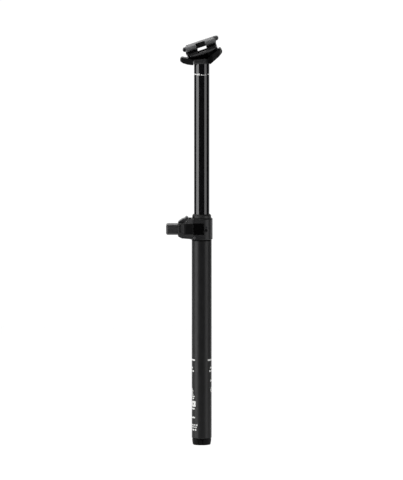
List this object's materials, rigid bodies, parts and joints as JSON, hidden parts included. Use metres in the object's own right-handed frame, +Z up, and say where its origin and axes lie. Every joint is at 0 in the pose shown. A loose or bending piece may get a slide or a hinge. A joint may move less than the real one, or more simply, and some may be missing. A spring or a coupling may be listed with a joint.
{
  "type": "telescoping suspension seatpost",
  "caption": "Telescoping air-sprung suspension seatpost with a bolted saddle-rail clamp, keyed sliding tube and a latched battery pod on its collar.",
  "frame": {"origin": "post axis, 2 mm below the underside of the collar, where a frame's seat tube would end", "axes": "+Z up along the post towards the saddle, +X towards the rear of the bicycle (the battery points forward, -X), +Y towards the rider's right"},
  "size_m": [0.0869, 0.0476, 0.636],
  "materials": {
    "tube_matte_black": "satin black anodised",
    "stanchion_gloss_black": "polished black hard anodised",
    "forged_black": "semi-gloss black anodised forging",
    "clamp_grey": "blasted dark grey anodised",
    "collar_black": "satin black anodised",
    "housing_plastic": "fine textured moulding",
    "gloss_panel": "piano black",
    "trim_grey": "satin dark grey",
    "battery_plastic": "satin moulding",
    "lens": "smoked light pipe",
    "rubber_black": "matte",
    "bumper_red": "matte urethane",
    "raw_aluminium": "machined",
    "steel": "zinc plated",
    "brass": "machined",
    "bushing_bronze": "filled polymer glide bush",
    "board_green": "solder mask",
    "chip_black": "matte",
    "cell_wrap": "shrink wrap",
    "ribbon_amber": "polyimide film"
  },
  "bodies": {
    "lower_post": {"lower_tube": "tube_matte_black", "collar": "collar_black", "upper_bushing": "bushing_bronze", "foam_ring": "rubber_black", "wiper_seal": "rubber_black", "pod_housing": "housing_plastic", "pod_base": "housing_plastic", "pod_screws": "steel", "side_panels": "gloss_panel", "side_screws": "steel", "rear_trim": "trim_grey", "led_lens": "lens", "circuit_board": "board_green", "circuit_chips": "chip_black", "contact_block": "housing_plastic", "contact_pins": "brass", "latch_pin": "steel", "latch_spring": "steel", "ribbon_cable": "ribbon_amber", "foot_cap": "tube_matte_black", "foot_block": "raw_aluminium", "foot_seal": "rubber_black", "foot_screws": "steel", "valve_motor": "steel", "bottom_bumper": "bumper_red", "air_shaft": "raw_aluminium", "rod_guide": "brass", "main_piston": "raw_aluminium", "piston_seal": "rubber_black", "glide_band": "bushing_bronze", "top_bumper": "bumper_red", "valve_cage": "brass", "poppet_spring": "steel"},
    "upper_post": {"upper_tube": "stanchion_gloss_black", "saddle_head": "forged_black", "seal_head": "raw_aluminium", "shaft_seal": "rubber_black", "outer_seal": "rubber_black", "snap_ring": "steel", "lower_bushing": "bushing_bronze", "guide_keys": "brass", "air_valve": "brass", "valve_core": "steel", "valve_cap": "housing_plastic"},
    "saddle_clamp": {"lower_cradle": "forged_black", "upper_clamp": "clamp_grey", "clamp_bridge": "forged_black", "clamp_bolts": "steel", "barrel_nuts": "steel", "half_washers": "steel"},
    "battery_latch": {"latch": "trim_grey"},
    "battery": {"battery_case": "battery_plastic", "battery_end_cap": "battery_plastic", "battery_cells": "cell_wrap", "battery_contacts": "brass"},
    "button": {"pairing_button": "rubber_black"},
    "drive_pinion": {"motor_pinion": "brass"},
    "valve_screw": {"screw_gear": "brass"},
    "valve_lifter": {"valve_rod": "steel", "poppet": "brass"}
  },
  "joints": [
    {"name": "post_drop", "type": "slide", "parent": "lower_post", "child": "upper_post", "axis": [0, 0, -1], "range_m": [0, 0.225], "stiffness_N_per_m": 120, "springref_m": -0.5},
    {"name": "saddle_tilt", "type": "hinge", "parent": "upper_post", "child": "saddle_clamp", "pos_m": [-0.01333, 0, 0.34083], "axis": [0, 1, 0], "range_deg": [0, 10]},
    {"name": "latch_turn", "type": "hinge", "parent": "lower_post", "child": "battery_latch", "pos_m": [-0.0218, 0, 0.0296], "axis": [0, 1, 0], "range_deg": [0, 35], "stiffness_Nm_per_rad": 0.12, "springref_deg": -22.92},
    {"name": "battery_slide", "type": "slide", "parent": "lower_post", "child": "battery", "axis": [-1, 0, 0], "range_m": [0, 0.032]},
    {"name": "button_press", "type": "slide", "parent": "lower_post", "child": "button", "axis": [-0.4019, 0.9157, 0], "range_m": [0, 0.00035], "stiffness_N_per_m": 1500, "springref_m": -0.0005},
    {"name": "screw_turn", "type": "hinge", "parent": "lower_post", "child": "valve_screw", "pos_m": [0, 0, -0.303], "axis": [0, 0, 1], "range_deg": [0, 121]},
    {"name": "pinion_turn", "type": "hinge", "parent": "lower_post", "child": "drive_pinion", "pos_m": [0.0075, 0, -0.303], "axis": [0, 0, 1], "range_deg": [-285, 5]},
    {"name": "rod_lift", "type": "slide", "parent": "lower_post", "child": "valve_lifter", "axis": [0, 0, 1], "range_m": [0, 0.002], "stiffness_N_per_m": 300, "springref_m": -0.002, "deforming": ["poppet_spring"]}
  ],
  "couplings": [
    {"joint": "screw_turn", "follows": "rod_lift", "rad_per_m": 1047.2},
    {"joint": "pinion_turn", "follows": "rod_lift", "rad_per_m": -2443.5}
  ]
}
